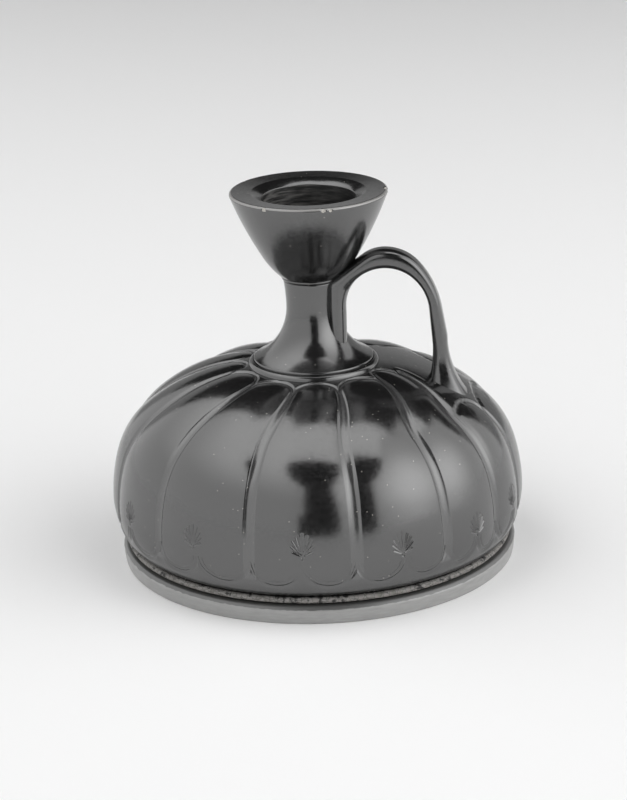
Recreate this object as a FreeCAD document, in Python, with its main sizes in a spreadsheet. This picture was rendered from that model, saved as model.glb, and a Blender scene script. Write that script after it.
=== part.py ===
import FreeCAD, Part
import math
import os
import re
import Sketcher

# A squat, ribbed lekythos: a thrown oil jar of fired clay with a glossy black surface.
# Lengths are in millimetres and angles in degrees. The axis of the jar is Z, the foot
# rests on Z = 0 and the handle points along +X.

doc = FreeCAD.newDocument("lekythos")

# Driving dimensions: name, value, what it measures.
DRIVING = [
    ("belly_radius", 64.0, "radius at the crest of the lobes, where the belly is widest"),
    ("base_inset", 3.5, "how far the belly's lower edge lies inside its widest radius"),
    ("base_reach", 1.9, "how far the belly's lower edge stands out over the groove"),
    ("foot_reach", 2.9, "how far the foot stands out past the bottom of the groove"),
    ("tread_inset", 0.5, "how far the resting face stops short of the foot's widest radius"),
    ("tread_width", 11.0, "width of the ring that rests on the table"),
    ("foot_face_height", 4.3, "height of the foot's upright outer face"),
    ("foot_height", 5.4, "height of the foot's flat top, on which the body stands"),
    ("foot_bevel", 1.0, "inward reach of the sloped band on top of the foot"),
    ("foot_hollow_taper", 2.0, "how far the hollow under the foot narrows upwards"),
    ("foot_face_bulge", 24.0, "radius of the slight swelling of the outer face"),
    ("groove_gap", 0.6, "open height of the groove under the clay bead"),
    ("bead_height", 1.8, "height of the pale clay bead"),
    ("bead_reach", 1.7, "width of the bead's flat faces over the groove"),
    ("bead_swell", 0.6, "how far the bead's rounded face stands out of those"),
    ("floor_thickness", 4.0, "thickness of the floor of the belly"),
    ("belly_height", 19.4, "height at which the belly is widest"),
    ("side_arc_share", 0.8375, "meridian radius of the belly's side as a share of belly_radius"),
    ("side_turn", 16.3, "slope of the meridian where the side ends"),
    ("shoulder_arc_share", 0.439, "meridian radius of the turn from side to shoulder as a share"),
    ("shoulder_turn", 50.2, "slope of the meridian where the shoulder turn ends"),
    ("crown_arc_share", 0.8984, "meridian radius of the flat shoulder as a share of belly_radius"),
    ("lobe_relief", 0.9, "height of a lobe's crest over the bands between lobes"),
    ("band_turn", 1.05, "half the angle that a band between two lobes takes up"),
    ("tip_flat", 1.6, "radius of the flat round the axis of a lobe"),
    ("furrow_depth", 0.45, "depth of the furrow in a band between two lobes"),
    ("furrow_width", 2.4, "width of that furrow"),
    ("furrow_run", 5.0, "how far the furrow runs on under the widest place"),
    ("lobe_count", 14, "number of lobes round the belly"),
    ("first_lobe_turn", 6.9, "angle from the handle to the middle of the next lobe"),
    ("wall", 3.2, "thickness of the belly's wall under the bands"),
    ("neck_inset", 7.2, "how far the neck's base keeps inside the lobes' axes"),
    ("neck_base_height", 2.8, "height of the neck's edge over its seat"),
    ("neck_waist_radius", 7.85, "smallest radius of the neck"),
    ("waist_drop", 8.4, "depth of the waist under the top of the neck"),
    ("neck_top_radius", 8.5, "radius of the neck at its upper end"),
    ("neck_rise", 27.4, "height of the neck over its seat"),
    ("bore_radius", 4.6, "radius of the bore through the neck"),
    ("ring_reach", 1.7, "how far the ring at the neck's base stands out"),
    ("ring_height", 2.2, "height of the ring at the neck's base"),
    ("ridge_height", 1.1, "height of the ridge between neck and mouth"),
    ("ridge_arc", 0.9, "radius of the ridge's rounded face"),
    ("mouth_base_radius", 9.0, "radius of the mouth's lower end"),
    ("bowl_reach", 0.9, "how far the mouth's rounded bottom stands out past the hole"),
    ("bowl_rise", 6.4, "height of the mouth's rounded bottom"),
    ("bowl_arc", 25.0, "radius of the mouth's rounded bottom"),
    ("rim_radius", 24.0, "outer radius of the rim"),
    ("mouth_rise", 26.7, "height of the mouth from the ridge to the top of the lip"),
    ("lip_round", 0.6, "rounding of the outer lip"),
    ("cone_arc", 120.0, "radius of the mouth's gently swelling side"),
    ("rim_slope_width", 5.9, "width of the part of the rim's top that slopes inwards"),
    ("rim_slope_drop", 0.5, "drop of that part"),
    ("rim_crown_width", 4.5, "width of the convex ring round the hole"),
    ("rim_crown_arc", 8.0, "radius of the convex ring round the hole"),
    ("hole_drop", 1.2, "depth of the hole's edge under the top of the lip"),
    ("hole_depth", 10.4, "length of the hole's upright wall"),
    ("cup_arc", 14.0, "radius of the curved inside of the mouth"),
    ("cup_floor", 3.1, "thickness of the mouth under its cup"),
    ("handle_offset", 3.0, "distance of the handle's middle plane from the jar's axis"),
    ("strap_width", 8.0, "width of the handle's strap"),
    ("strap_corner", 0.9, "rounding of the strap's edges"),
    ("root_depth", 1.0, "how far the strap's hidden end reaches inside the bore's wall"),
    ("root_thickness", 2.75, "thickness of the strap in front of the neck's waist"),
    ("root_rise", 4.6, "height over the seat at which the strap starts in the neck"),
    ("arch_drop", 7.8, "depth under the top of the neck at which the strap starts to arch"),
    ("inner_arc_share", 0.1875, "inner_arc as a share of belly_radius"),
    ("crest_arc_share", 0.1969, "crest_arc as a share of belly_radius"),
    ("crest_turn", 42.0, "slope of the underside where the crest's arc ends"),
    ("knee_arc_share", 0.2266, "knee_arc as a share of belly_radius"),
    ("leg_turn", 85.0, "slope of the leg's inner side"),
    ("leg_length", 11.4, "length of the leg's straight inner side"),
    ("arch_thickness", 5.9, "thickness of the strap at the top of the arch"),
    ("back_arc_share", 0.1797, "back_arc as a share of belly_radius"),
    ("back_turn", 38.0, "slope of the upper side where it runs under the mouth"),
    ("top_arc_share", 0.2172, "top_arc as a share of belly_radius"),
    ("top_turn", 50.0, "slope of the upper side where the top's arc ends"),
    ("elbow_arc_share", 0.4688, "elbow_arc as a share of belly_radius"),
    ("shin_turn", 80.0, "slope of the leg's outer side"),
    ("shin_length", 8.9, "length of the leg's straight outer side"),
    ("heel_inner_share", 0.55, "reach of the heel's inner side as a share of belly_radius"),
    ("heel_outer_share", 0.8125, "reach of the heel's outer side as a share of belly_radius"),
    ("heel_sink", 1.4, "depth of the heel under the lobes' crests"),
    ("heel_width", 14.0, "width to which the heel spreads on the shoulder"),
    ("spread_rise", 0.8, "height over the seat at which the heel starts to spread"),
    ("overrun", 2.0, "how far a cutting form runs past what it cuts"),
]

sizes = doc.addObject("Spreadsheet::Sheet", "sizes")
for row, (alias, value, meaning) in enumerate(DRIVING, start=1):
    sizes.set("A%d" % row, meaning)
    sizes.set("B%d" % row, str(value))
    sizes.setAlias("B%d" % row, alias)

# Places worked out from the driving dimensions, in the order in which the jar is built up.
# The belly's meridian is a chain of tangent arcs: side, shoulder turn and crown.
WORKED_OUT = [
    ("zero", "0"),
    ("base_radius", "belly_radius - base_inset"),
    ("groove_radius", "base_radius - base_reach"),
    ("foot_radius", "groove_radius + foot_reach"),
    ("foot_tread_radius", "foot_radius - tread_inset"),
    ("foot_hollow_radius", "foot_tread_radius - tread_width"),
    ("bead_bottom", "foot_height + groove_gap"),
    ("base_height", "bead_bottom + bead_height"),
    ("bead_radius", "groove_radius + bead_reach"),
    ("bead_arc", "(bead_swell ^ 2 + (bead_height / 2) ^ 2) / (2 * bead_swell)"),
    ("foot_bevel_radius", "foot_radius - foot_bevel"),
    ("foot_hollow_top_radius", "foot_hollow_radius - foot_hollow_taper"),
    ("side_arc", "belly_radius * side_arc_share"),
    ("shoulder_arc", "belly_radius * shoulder_arc_share"),
    ("crown_arc", "belly_radius * crown_arc_share"),
    ("side_cos", "cos(side_turn)"),
    ("side_sin", "sin(side_turn)"),
    ("turn_cos", "cos(shoulder_turn)"),
    ("turn_sin", "sin(shoulder_turn)"),
    ("side_top_radius", "belly_radius - side_arc * (1 - side_cos)"),
    ("side_top_height", "belly_height + side_arc * side_sin"),
    ("turn_top_radius", "side_top_radius - shoulder_arc * (side_cos - turn_cos)"),
    ("turn_top_height", "side_top_height + shoulder_arc * (turn_sin - side_sin)"),
    ("crown_centre_radius", "turn_top_radius - crown_arc * turn_cos"),
    ("crown_centre_height", "turn_top_height - crown_arc * turn_sin"),
    ("band_radius", "belly_radius - lobe_relief"),
    ("lobe_turn", "180 / lobe_count - band_turn"),
    ("lobe_axis_radius", "(belly_radius ^ 2 - band_radius ^ 2)"
     " / (2 * (belly_radius - band_radius * cos(lobe_turn)))"),
    ("tip_reach", "lobe_axis_radius + tip_flat"),
    ("tip_height", "crown_centre_height"
     " + sqrt(crown_arc ^ 2 - (tip_reach - crown_centre_radius) ^ 2)"),
    ("band_side_arc", "side_arc - lobe_relief"),
    ("band_shoulder_arc", "shoulder_arc - lobe_relief"),
    ("band_crown_arc", "crown_arc - lobe_relief"),
    ("band_side_radius", "side_top_radius - lobe_relief * side_cos"),
    ("band_side_height", "side_top_height - lobe_relief * side_sin"),
    ("band_turn_radius", "turn_top_radius - lobe_relief * turn_cos"),
    ("band_turn_height", "turn_top_height - lobe_relief * turn_sin"),
    ("neck_base_radius", "lobe_axis_radius - neck_inset"),
    ("ring_radius", "neck_base_radius + ring_reach"),
    ("seat_height", "crown_centre_height"
     " + sqrt(band_crown_arc ^ 2 - (ring_radius - crown_centre_radius) ^ 2)"),
    ("depth", "lobe_relief + wall"),
    ("cavity_radius", "belly_radius - depth"),
    ("cavity_side_arc", "side_arc - depth"),
    ("cavity_shoulder_arc", "shoulder_arc - depth"),
    ("cavity_crown_arc", "crown_arc - depth"),
    ("cavity_side_radius", "side_top_radius - depth * side_cos"),
    ("cavity_side_height", "side_top_height - depth * side_sin"),
    ("cavity_turn_radius", "turn_top_radius - depth * turn_cos"),
    ("cavity_turn_height", "turn_top_height - depth * turn_sin"),
    ("seat_overrun", "seat_height + overrun"),
    ("furrow_sink", "lobe_relief + furrow_depth"),
    ("furrow_bottom", "belly_height - furrow_run"),
    ("furrow_radius", "belly_radius - furrow_sink"),
    ("furrow_side_arc", "side_arc - furrow_sink"),
    ("furrow_shoulder_arc", "shoulder_arc - furrow_sink"),
    ("furrow_crown_arc", "crown_arc - furrow_sink"),
    ("furrow_side_radius", "side_top_radius - furrow_sink * side_cos"),
    ("furrow_side_height", "side_top_height - furrow_sink * side_sin"),
    ("furrow_turn_radius", "turn_top_radius - furrow_sink * turn_cos"),
    ("furrow_turn_height", "turn_top_height - furrow_sink * turn_sin"),
    ("furrow_end_height", "crown_centre_height"
     " + sqrt(furrow_crown_arc ^ 2 - (lobe_axis_radius - crown_centre_radius) ^ 2)"),
    ("cut_base", "foot_height - overrun"),
    ("cut_radius", "belly_radius + overrun"),
    ("core_turn", "first_lobe_turn + 180"),
    ("rest_turn", "360 - 360 / lobe_count"),
    ("sector_end_turn", "first_lobe_turn + 180 / lobe_count"),
    ("cavity_top_height", "crown_centre_height"
     " + sqrt(cavity_crown_arc ^ 2 - (bore_radius - crown_centre_radius) ^ 2)"),
    ("floor_height", "foot_height + floor_thickness"),
    ("floor_radius", "base_radius - wall - floor_thickness"),
    ("lobe_base_radius", "base_radius - lobe_relief"),
    ("lower_arc", "((belly_radius - lobe_base_radius) ^ 2 + (belly_height - base_height) ^ 2)"
     " / (2 * (belly_radius - lobe_base_radius))"),
    ("band_lower_arc", "((band_radius - base_radius) ^ 2 + (belly_height - base_height) ^ 2)"
     " / (2 * (band_radius - base_radius))"),
    ("cavity_lower_arc", "((cavity_radius - floor_radius) ^ 2 + (belly_height - floor_height) ^ 2)"
     " / (2 * (cavity_radius - floor_radius))"),
    ("neck_edge_height", "seat_height + neck_base_height"),
    ("neck_top", "seat_height + neck_rise"),
    ("waist_height", "neck_top - waist_drop"),
    ("flare_arc", "((neck_base_radius - neck_waist_radius) ^ 2 + (waist_height - neck_edge_height) ^ 2)"
     " / (2 * (neck_base_radius - neck_waist_radius))"),
    ("throat_arc", "((neck_top_radius - neck_waist_radius) ^ 2 + (neck_top - waist_height) ^ 2)"
     " / (2 * (neck_top_radius - neck_waist_radius))"),
    ("ring_top", "seat_height + ring_height"),
    ("ring_arc", "(ring_reach ^ 2 + ring_height ^ 2) / (2 * ring_reach)"),
    ("rim_slope_radius", "rim_radius - rim_slope_width"),
    ("hole_radius", "rim_slope_radius - rim_crown_width"),
    ("bowl_radius", "hole_radius + bowl_reach"),
    ("mouth_bottom", "neck_top + ridge_height"),
    ("bowl_height", "mouth_bottom + bowl_rise"),
    ("lip_height", "mouth_bottom + mouth_rise"),
    ("lip_side_height", "lip_height - lip_round"),
    ("lip_top_radius", "rim_radius - lip_round"),
    ("rim_slope_height", "lip_height - rim_slope_drop"),
    ("hole_height", "lip_height - hole_drop"),
    ("hole_bottom", "hole_height - hole_depth"),
    ("cup_height", "mouth_bottom + cup_floor"),
    ("plug_radius", "(bore_radius + neck_waist_radius) / 2"),
    ("plug_length", "cup_height - seat_height"),
    ("inner_arc", "belly_radius * inner_arc_share"),
    ("crest_arc", "belly_radius * crest_arc_share"),
    ("knee_arc", "belly_radius * knee_arc_share"),
    ("back_arc", "belly_radius * back_arc_share"),
    ("top_arc", "belly_radius * top_arc_share"),
    ("elbow_arc", "belly_radius * elbow_arc_share"),
    ("heel_inner_reach", "belly_radius * heel_inner_share"),
    ("heel_outer_reach", "belly_radius * heel_outer_share"),
    ("root_start", "bore_radius - root_depth"),
    ("root_reach", "neck_waist_radius + root_thickness"),
    ("root_height", "seat_height + root_rise"),
    ("arch_height", "neck_top - arch_drop"),
    ("crest_reach", "root_reach + inner_arc"),
    ("crest_height", "arch_height + inner_arc"),
    ("crest_end_reach", "crest_reach + crest_arc * sin(crest_turn)"),
    ("crest_end_height", "crest_height - crest_arc * (1 - cos(crest_turn))"),
    ("leg_top_reach", "crest_end_reach + knee_arc * (sin(leg_turn) - sin(crest_turn))"),
    ("leg_top_height", "crest_end_height - knee_arc * (cos(crest_turn) - cos(leg_turn))"),
    ("leg_end_reach", "leg_top_reach + leg_length * cos(leg_turn)"),
    ("leg_end_height", "leg_top_height - leg_length * sin(leg_turn)"),
    ("top_height", "crest_height + arch_thickness"),
    ("back_reach", "crest_reach - back_arc * sin(back_turn)"),
    ("back_height", "top_height - back_arc * (1 - cos(back_turn))"),
    ("back_end_height", "back_height - (back_reach - root_start) * tan(back_turn)"),
    ("elbow_reach", "crest_reach + top_arc * sin(top_turn)"),
    ("elbow_height", "top_height - top_arc * (1 - cos(top_turn))"),
    ("shin_top_reach", "elbow_reach + elbow_arc * (sin(shin_turn) - sin(top_turn))"),
    ("shin_top_height", "elbow_height - elbow_arc * (cos(top_turn) - cos(shin_turn))"),
    ("shin_end_reach", "shin_top_reach + shin_length * cos(shin_turn)"),
    ("shin_end_height", "shin_top_height - shin_length * sin(shin_turn)"),
    ("heel_inner_height", "crown_centre_height - heel_sink"
     " + sqrt(crown_arc ^ 2 - (heel_inner_reach - crown_centre_radius) ^ 2)"),
    ("heel_outer_height", "crown_centre_height - heel_sink"
     " + sqrt(crown_arc ^ 2 - (heel_outer_reach - crown_centre_radius) ^ 2)"),
    ("heel_inner_arc", "((leg_end_reach - heel_inner_reach) ^ 2"
     " + (leg_end_height - heel_inner_height) ^ 2)"
     " / (2 * ((leg_end_height - heel_inner_height) * cos(leg_turn)"
     " + (leg_end_reach - heel_inner_reach) * sin(leg_turn)))"),
    ("heel_outer_arc", "((heel_outer_reach - shin_end_reach) ^ 2"
     " + (shin_end_height - heel_outer_height) ^ 2)"
     " / (2 * ((heel_outer_reach - shin_end_reach) * sin(shin_turn)"
     " - (shin_end_height - heel_outer_height) * cos(shin_turn)))"),
    ("strap_near", "-handle_offset - strap_width / 2"),
    ("strap_far", "-handle_offset + strap_width / 2"),
    ("heel_near", "-handle_offset - heel_width / 2"),
    ("heel_far", "-handle_offset + heel_width / 2"),
    ("cut_near", "heel_near - overrun"),
    ("cut_far", "heel_far + overrun"),
    ("cut_top", "top_height + overrun"),
    ("cut_bottom", "heel_outer_height - overrun"),
    ("spread_height", "seat_height + spread_rise"),
    ("spread_arc", "((heel_width - strap_width) ^ 2 / 4 + (spread_height - heel_outer_height) ^ 2)"
     " / (heel_width - strap_width)"),
]

NAME = re.compile(r"[a-z_]{4,}")
DRIVEN = {alias for alias, formula in WORKED_OUT}


def on_sheets(formula):
    """Give each name in a formula the sheet that holds it."""
    def place(match):
        name = match.group(0)
        if name == "sqrt":
            return name
        return ("places." if name in DRIVEN else "sizes.") + name
    return NAME.sub(place, formula)


places = doc.addObject("Spreadsheet::Sheet", "places")
for row, (alias, formula) in enumerate(WORKED_OUT, start=1):
    own = on_sheets(formula).replace("places.", "")
    places.set("A%d" % row, "=" + own)
    places.setAlias("A%d" % row, alias)
doc.recompute()


def size(name):
    """Value of a driving dimension or of a worked-out place."""
    return float(getattr(places if name in DRIVEN else sizes, name))


def origin_plane(body, role):
    return next(f for f in body.Origin.OriginFeatures if f.Role == role)


def new_body(name):
    body = doc.addObject("PartDesign::Body", name)
    body.Label = name
    return body


def bind(sketch, constraint, name):
    """Add a constraint to a sketch and let a cell of the sheets set its value."""
    index = sketch.addConstraint(constraint)
    sketch.setExpression("Constraints[%d]" % index, on_sheets(name))


def arc_between(start, end, radius, side):
    """Short arc from start to end; side 1 keeps its centre on the left, -1 on the right."""
    chord = end - start
    across = FreeCAD.Vector(-chord.y, chord.x, 0).normalize()
    rise = math.sqrt(max(radius ** 2 - (chord.Length / 2) ** 2, 0))
    centre = (start + end) / 2 + across * rise * side
    circle = Part.Circle(centre, FreeCAD.Vector(0, 0, 1), radius)
    first, last = (start, end) if side > 0 else (end, start)
    return Part.ArcOfCircle(circle, circle.parameter(first), circle.parameter(last))


LEFT, RIGHT = 1, -1


def outline(body, name, corners, plane="XZ_Plane", turn=None, shift=None):
    """Closed sketch through named corners (reach, height), each placed by its cells. A
    corner may add (radius, side): the edge that comes to it is then an arc. The turn names
    the angle by which the sketch swings round the jar's axis, and the shift names its
    distance in front of that axis."""
    sketch = body.newObject("Sketcher::SketchObject", name)
    sketch.AttachmentSupport = [(origin_plane(body, plane), "")]
    sketch.MapMode = "FlatFace"
    if turn:
        sketch.AttachmentOffset = FreeCAD.Placement(
            FreeCAD.Vector(), FreeCAD.Rotation(FreeCAD.Vector(0, 1, 0), size(turn)))
        sketch.setExpression("AttachmentOffset.Rotation.Angle", on_sheets(turn))
    if shift:
        sketch.setExpression("AttachmentOffset.Base.z", on_sheets(shift))
    points = [FreeCAD.Vector(size(corner[0]), size(corner[1]), 0) for corner in corners]
    ends = []
    for index, corner in enumerate(corners):
        start = points[index - 1]
        end = points[index]
        if len(corner) == 4:
            edge = sketch.addGeometry(arc_between(start, end, size(corner[2]), corner[3]))
            bind(sketch, Sketcher.Constraint("Radius", edge, size(corner[2])), corner[2])
            ends.append((edge, 1, 2) if corner[3] == LEFT else (edge, 2, 1))
        else:
            edge = sketch.addGeometry(Part.LineSegment(start, end))
            ends.append((edge, 1, 2))
    for index, corner in enumerate(corners):
        edge, unused, last = ends[index]
        following, first, unused = ends[(index + 1) % len(ends)]
        sketch.addConstraint(Sketcher.Constraint("Coincident", edge, last, following, first))
        for kind, value, name_of_cell, axis in (
                ("DistanceX", points[index].x, corner[0], -2),
                ("DistanceY", points[index].y, corner[1], -1)):
            if name_of_cell == "zero":
                sketch.addConstraint(Sketcher.Constraint("PointOnObject", edge, last, axis))
            else:
                bind(sketch, Sketcher.Constraint(kind, -1, 1, edge, last, value), name_of_cell)
    return sketch


def spun(body, name, corners, turn=None):
    """Solid of revolution about the jar's axis from an outline."""
    sketch = outline(body, name + "_outline", corners, turn=turn)
    turned = body.newObject("PartDesign::Revolution", name)
    turned.Profile = sketch
    turned.ReferenceAxis = (sketch, ["V_Axis"])
    turned.Angle = 360
    return turned


# Foot: a turned ring of clay, hollow underneath, with a sloped band round its top.
foot = new_body("foot")
spun(foot, "foot_ring", [
    ("foot_hollow_radius", "zero"),
    ("foot_tread_radius", "zero"),
    ("foot_radius", "foot_face_height", "foot_face_bulge", LEFT),
    ("foot_bevel_radius", "foot_height"),
    ("foot_hollow_top_radius", "foot_height"),
])

# Clay bead: a pale ring pressed into the groove between foot and belly.
clay_bead = new_body("clay_bead")
spun(clay_bead, "bead_ring", [
    ("groove_radius", "bead_bottom"),
    ("bead_radius", "bead_bottom"),
    ("bead_radius", "base_height", "bead_arc", LEFT),
    ("groove_radius", "base_height"),
])

# Body: the thrown belly. A core of revolution carries the lobes, and its surface shows as
# the bands between them.
body = new_body("body")
spun(body, "belly_core", [
    ("zero", "foot_height"),
    ("groove_radius", "foot_height"),
    ("groove_radius", "base_height"),
    ("base_radius", "base_height"),
    ("band_radius", "belly_height", "band_lower_arc", LEFT),
    ("band_side_radius", "band_side_height", "band_side_arc", LEFT),
    ("band_turn_radius", "band_turn_height", "band_shoulder_arc", LEFT),
    ("ring_radius", "seat_height", "band_crown_arc", LEFT),
    ("zero", "seat_height"),
], "core_turn")

# Lobe: it is spun about an axis of its own, nearer to the wall than the jar's axis. That
# makes it rounder than the core, so its edges sink into the core along the bands and its
# upper end comes out as a rounded tongue.
lobe_outline = outline(body, "lobe_outline", [
    ("lobe_axis_radius", "base_height"),
    ("lobe_base_radius", "base_height"),
    ("belly_radius", "belly_height", "lower_arc", LEFT),
    ("side_top_radius", "side_top_height", "side_arc", LEFT),
    ("turn_top_radius", "turn_top_height", "shoulder_arc", LEFT),
    ("tip_reach", "tip_height", "crown_arc", LEFT),
    ("lobe_axis_radius", "tip_height"),
], turn="first_lobe_turn")
lobe = body.newObject("PartDesign::Revolution", "lobe")
lobe.Profile = lobe_outline
lobe.ReferenceAxis = (lobe_outline, ["Edge1"])
lobe.Angle = 360

# Sector: the slice of the core under this lobe is kept, and all slices together make the
# belly.
rest_outline = outline(body, "rest_outline", [
    ("zero", "cut_base"),
    ("cut_radius", "cut_base"),
    ("cut_radius", "seat_overrun"),
    ("zero", "seat_overrun"),
], turn="sector_end_turn")
sector = body.newObject("PartDesign::Groove", "sector")
sector.Profile = rest_outline
sector.ReferenceAxis = (rest_outline, ["V_Axis"])
sector.setExpression("Angle", "places.rest_turn")
doc.recompute()
lobes = body.newObject("PartDesign::PolarPattern", "lobes")
lobes.TransformMode = "Whole shape"
lobes.Axis = (rest_outline, ["V_Axis"])
lobes.Angle = 360
lobes.setExpression("Occurrences", "sizes.lobe_count")
body.Tip = lobes
doc.recompute()

# Furrows: a shallow slot follows the middle of each band from the side of the belly up to
# the lobes' rounded ends.
lobed_volume = lobes.Shape.Volume
furrow_outline = outline(body, "furrow_outline", [
    ("cut_radius", "furrow_bottom"),
    ("furrow_radius", "furrow_bottom"),
    ("furrow_radius", "belly_height"),
    ("furrow_side_radius", "furrow_side_height", "furrow_side_arc", LEFT),
    ("furrow_turn_radius", "furrow_turn_height", "furrow_shoulder_arc", LEFT),
    ("lobe_axis_radius", "furrow_end_height", "furrow_crown_arc", LEFT),
    ("lobe_axis_radius", "seat_overrun"),
    ("cut_radius", "seat_overrun"),
], turn="sector_end_turn")
furrow = body.newObject("PartDesign::Pocket", "furrow")
furrow.Profile = furrow_outline
furrow.Midplane = True
furrow.setExpression("Length", "sizes.furrow_width")
doc.recompute()
furrows = body.newObject("PartDesign::PolarPattern", "furrows")
furrows.Originals = [furrow]
furrows.Axis = (rest_outline, ["V_Axis"])
furrows.Angle = 360
furrows.setExpression("Occurrences", "sizes.lobe_count")
body.Tip = furrows
doc.recompute()
if furrows.Shape.Volume >= furrow.Shape.Volume or furrow.Shape.Volume >= lobed_volume:
    raise RuntimeError("the furrows are not cut")

# Cavity: it follows the belly's wall from the floor to the bore under the neck.
furrowed_volume = furrows.Shape.Volume
cavity_outline = outline(body, "cavity_outline", [
    ("zero", "floor_height"),
    ("floor_radius", "floor_height"),
    ("cavity_radius", "belly_height", "cavity_lower_arc", LEFT),
    ("cavity_side_radius", "cavity_side_height", "cavity_side_arc", LEFT),
    ("cavity_turn_radius", "cavity_turn_height", "cavity_shoulder_arc", LEFT),
    ("bore_radius", "cavity_top_height", "cavity_crown_arc", LEFT),
    ("bore_radius", "seat_overrun"),
    ("zero", "seat_overrun"),
])
cavity = body.newObject("PartDesign::Groove", "cavity")
cavity.Profile = cavity_outline
cavity.ReferenceAxis = (cavity_outline, ["V_Axis"])
cavity.Angle = 360
doc.recompute()
if cavity.Shape.Volume >= furrowed_volume:
    raise RuntimeError("the cavity is not cut")

# Neck ring: a rounded moulding round the foot of the neck.
neck_ring = new_body("neck_ring")
spun(neck_ring, "moulding", [
    ("neck_base_radius", "seat_height"),
    ("ring_radius", "seat_height"),
    ("neck_base_radius", "ring_top", "ring_arc", LEFT),
])

# Neck: it flares out to the shoulder, narrows to its waist and opens a little at the top.
neck = new_body("neck")
spun(neck, "neck_tube", [
    ("bore_radius", "seat_height"),
    ("neck_base_radius", "seat_height"),
    ("neck_base_radius", "neck_edge_height"),
    ("neck_waist_radius", "waist_height", "flare_arc", RIGHT),
    ("neck_top_radius", "neck_top", "throat_arc", RIGHT),
    ("bore_radius", "neck_top"),
])

# Mouth ring: the low ridge on which the mouth sits.
mouth_ring = new_body("mouth_ring")
spun(mouth_ring, "ridge", [
    ("bore_radius", "neck_top"),
    ("neck_top_radius", "neck_top"),
    ("mouth_base_radius", "mouth_bottom", "ridge_arc", LEFT),
    ("bore_radius", "mouth_bottom"),
])

# Mouth: a deep cup with a rounded bottom, a swelling side and a broad top face round a hole.
mouth = new_body("mouth")
spun(mouth, "cup", [
    ("bore_radius", "mouth_bottom"),
    ("mouth_base_radius", "mouth_bottom"),
    ("bowl_radius", "bowl_height", "bowl_arc", LEFT),
    ("rim_radius", "lip_side_height", "cone_arc", LEFT),
    ("lip_top_radius", "lip_height", "lip_round", LEFT),
    ("rim_slope_radius", "rim_slope_height"),
    ("hole_radius", "hole_height", "rim_crown_arc", LEFT),
    ("hole_radius", "hole_bottom"),
    ("bore_radius", "cup_height", "cup_arc", RIGHT),
])

# Strap: the handle seen from the side, cut out of a slab as wide as the heel. The sides are
# then cut back to the strap's width, so that only the heel spreads.
strap = new_body("strap")
slab_outline = outline(strap, "slab_outline", [
    ("root_start", "root_height"),
    ("root_reach", "root_height"),
    ("root_reach", "arch_height"),
    ("crest_reach", "crest_height", "inner_arc", RIGHT),
    ("crest_end_reach", "crest_end_height", "crest_arc", RIGHT),
    ("leg_top_reach", "leg_top_height", "knee_arc", RIGHT),
    ("leg_end_reach", "leg_end_height"),
    ("heel_inner_reach", "heel_inner_height", "heel_inner_arc", RIGHT),
    ("heel_outer_reach", "heel_outer_height"),
    ("shin_end_reach", "shin_end_height", "heel_outer_arc", RIGHT),
    ("shin_top_reach", "shin_top_height"),
    ("elbow_reach", "elbow_height", "elbow_arc", LEFT),
    ("crest_reach", "top_height", "top_arc", LEFT),
    ("back_reach", "back_height", "back_arc", LEFT),
    ("root_start", "back_end_height"),
], shift="handle_offset")
slab = strap.newObject("PartDesign::Pad", "slab")
slab.Profile = slab_outline
slab.Midplane = True
slab.setExpression("Length", "sizes.heel_width")
doc.recompute()

for name, strap_side, heel_side, cut_side, bend in (
        ("near", "strap_near", "heel_near", "cut_near", RIGHT),
        ("far", "strap_far", "heel_far", "cut_far", LEFT)):
    slab_volume = strap.Tip.Shape.Volume
    side_outline = outline(strap, name + "_side_outline", [
        (strap_side, "cut_top"),
        (strap_side, "spread_height"),
        (heel_side, "heel_outer_height", "spread_arc", bend),
        (heel_side, "cut_bottom"),
        (cut_side, "cut_bottom"),
        (cut_side, "cut_top"),
    ], plane="YZ_Plane")
    side = strap.newObject("PartDesign::Pocket", name + "_side")
    side.Profile = side_outline
    side.Type = "ThroughAll"
    side.Midplane = True
    doc.recompute()
    if side.Shape.Volume >= slab_volume:
        raise RuntimeError("the strap's side is not cut")

# The strap's long edges are rounded, apart from its two hidden ends in neck and shoulder.
sole_start = FreeCAD.Vector(size("heel_inner_reach"), 0, size("heel_inner_height"))
sole_end = FreeCAD.Vector(size("heel_outer_reach"), 0, size("heel_outer_height"))
sole_up = FreeCAD.Vector(0, 1, 0).cross(sole_start - sole_end).normalize()
nearness = size("strap_corner") / 10
trimmed = strap.Tip
long_edges = []
for number, edge in enumerate(trimmed.Shape.Edges, start=1):
    middle = edge.valueAt((edge.FirstParameter + edge.LastParameter) / 2)
    on_side = abs(middle.y + size("handle_offset")) > size("strap_width") / 2 - nearness
    past_root = middle.x > size("root_reach") + nearness
    over_root = middle.z > size("root_height") + nearness and middle.x > size("root_start") + nearness
    over_sole = (middle - sole_end).dot(sole_up) > nearness
    across_side = abs(edge.Vertexes[0].Z - size("spread_height")) < nearness and (
        abs(edge.Vertexes[-1].Z - size("spread_height")) < nearness)
    if on_side and (past_root or over_root) and over_sole and not across_side:
        long_edges.append("Edge%d" % number)
rounding = strap.newObject("PartDesign::Fillet", "rounding")
rounding.Base = (trimmed, long_edges)
rounding.setExpression("Radius", "sizes.strap_corner")
strap.Tip = rounding
doc.recompute()

# Handle: the strap without what lies inside the neck, the mouth and the shoulder, so that
# it rests on their surfaces.
plug = doc.addObject("Part::Cylinder", "plug")
plug.setExpression("Radius", "places.plug_radius")
plug.setExpression("Height", "places.plug_length")
plug.setExpression("Placement.Base.z", "places.seat_height")
joined = doc.addObject("Part::MultiFuse", "joined")
joined.Shapes = [body, neck, mouth_ring, mouth, plug]
handle = doc.addObject("Part::Cut", "handle")
handle.Label = "handle"
handle.Base = strap
handle.Tool = joined
doc.recompute()

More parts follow.
